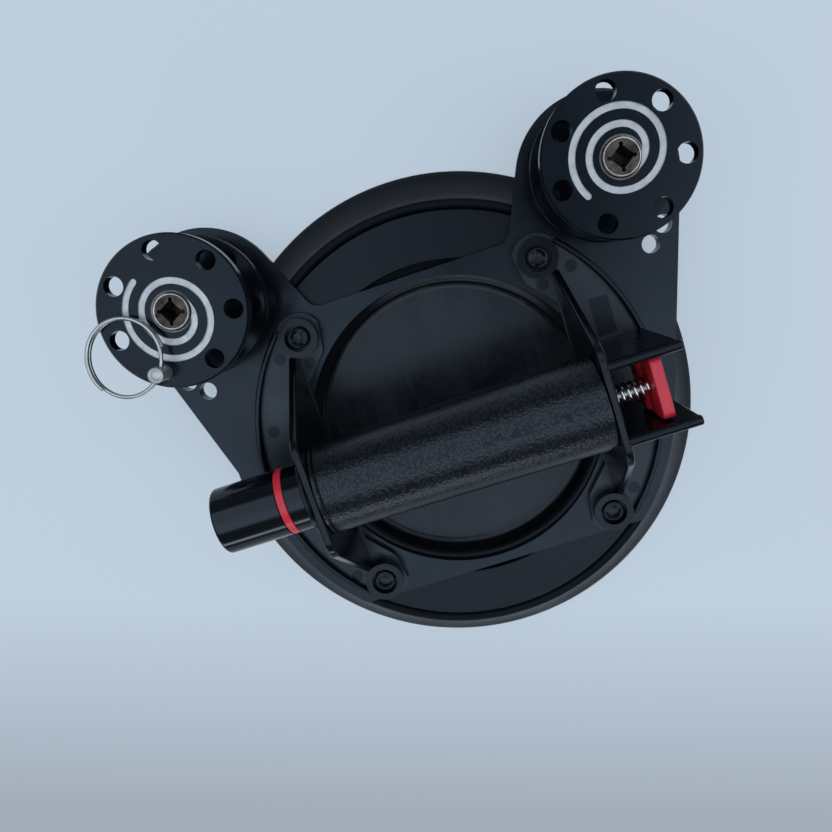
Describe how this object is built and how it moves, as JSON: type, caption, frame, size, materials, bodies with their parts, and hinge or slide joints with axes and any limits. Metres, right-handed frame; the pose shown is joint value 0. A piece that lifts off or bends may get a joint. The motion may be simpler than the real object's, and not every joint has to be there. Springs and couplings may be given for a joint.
{
  "type": "wire-winding glass suction cup",
  "caption": "Pump-handled vacuum cup with a red release lever and drilled, spiral-grooved winding reels on an eared plate, for winding windscreen cut-out wire.",
  "frame": {"origin": "the middle of the rubber cup on the plane of the glass it stands on", "axes": "+X runs along the grip from the pump plunger to the red release lever, +Y from the grip to the reels, +Z away from the glass"},
  "size_m": [0.2261, 0.2098, 0.0844],
  "materials": {
    "cup_rubber": "matt moulded black rubber, dusty in the recess",
    "disc_anodised": "matt black anodised disc with fine scratches",
    "plate_powder_coat": "satin black powder coat",
    "bracket_nylon": "semi-gloss moulded black nylon",
    "grip_vinyl": "pebble-grained black vinyl sleeve",
    "plunger_gloss": "polished black",
    "signal_red": "smooth signal red",
    "bush_acetal": "turned black acetal",
    "flange_anodised": "black anodised aluminium, grooves left bare",
    "shaft_steel": "turned steel, slightly stained",
    "bright_chrome": "bright plated wire",
    "screw_black_oxide": "black oxide",
    "pin_brass": "rolled brass tube",
    "bare_aluminium": "plain drawn tube"
  },
  "bodies": {
    "frame": {"rubber_cup": "cup_rubber", "backing_disc": "disc_anodised", "mounting_plate": "plate_powder_coat", "left_bracket": "bracket_nylon", "right_bracket": "bracket_nylon", "bracket_screw_1": "screw_black_oxide", "bracket_screw_2": "screw_black_oxide", "bracket_screw_3": "screw_black_oxide", "bracket_screw_4": "screw_black_oxide", "grip_sleeve": "grip_vinyl", "pump_barrel": "bare_aluminium", "plunger_bush": "bush_acetal", "valve_plug": "bush_acetal", "lever_pin": "pin_brass", "lever_spring": "bright_chrome", "pump_spring": "shaft_steel", "left_bearing_housing": "flange_anodised", "right_bearing_housing": "flange_anodised", "air_nipple": "shaft_steel"},
    "left_reel": {"left_top_flange": "flange_anodised", "left_lower_flange": "flange_anodised", "left_core": "flange_anodised", "left_drive_shaft": "shaft_steel", "left_washer": "shaft_steel", "left_nut": "shaft_steel"},
    "right_reel": {"right_top_flange": "flange_anodised", "right_lower_flange": "flange_anodised", "right_core": "flange_anodised", "right_drive_shaft": "shaft_steel", "right_washer": "shaft_steel", "right_nut": "shaft_steel"},
    "plunger_assembly": {"plunger": "plunger_gloss", "red_band": "signal_red", "piston": "bush_acetal", "piston_seal": "cup_rubber"},
    "release": {"release_lever": "signal_red"},
    "valve": {"valve_stem": "shaft_steel", "valve_seal": "cup_rubber"},
    "pin": {"lock_pin": "bright_chrome"},
    "ring": {"split_ring": "bright_chrome"}
  },
  "joints": [
    {"name": "left_reel_spin", "type": "hinge", "parent": "frame", "child": "left_reel", "pos_m": [-0.0805, 0.0774, 0], "axis": [0, 0, 1], "continuous": true},
    {"name": "right_reel_spin", "type": "hinge", "parent": "frame", "child": "right_reel", "pos_m": [0.0805, 0.0774, 0], "axis": [0, 0, 1], "continuous": true},
    {"name": "plunger_slide", "type": "slide", "parent": "frame", "child": "plunger_assembly", "axis": [1, 0, 0], "range_m": [0, 0.03], "stiffness_N_per_m": 150, "springref_m": -0.02, "deforming": ["pump_spring"]},
    {"name": "lever_tilt", "type": "hinge", "parent": "frame", "child": "release", "pos_m": [0.07145, 0, 0.058], "axis": [0, -1, 0], "range_deg": [0, 12], "stiffness_Nm_per_rad": 0.02, "springref_deg": -8.59, "deforming": ["lever_spring"]},
    {"name": "valve_slide", "type": "slide", "parent": "frame", "child": "valve", "axis": [-1, 0, 0], "range_m": [0, 0.002]},
    {"name": "pin_lift", "type": "slide", "parent": "left_reel", "child": "pin", "axis": [0, 0, 1], "range_m": [0, 0.04]},
    {"name": "ring_swing", "type": "hinge", "parent": "pin", "child": "ring", "pos_m": [-0.09088, 0.05843, 0.0753], "axis": [0.6691, 0.7431, 0], "range_deg": [0, 100]}
  ],
  "couplings": [
    {"joint": "valve_slide", "follows": "lever_tilt", "m_per_rad": 0.009}
  ]
}
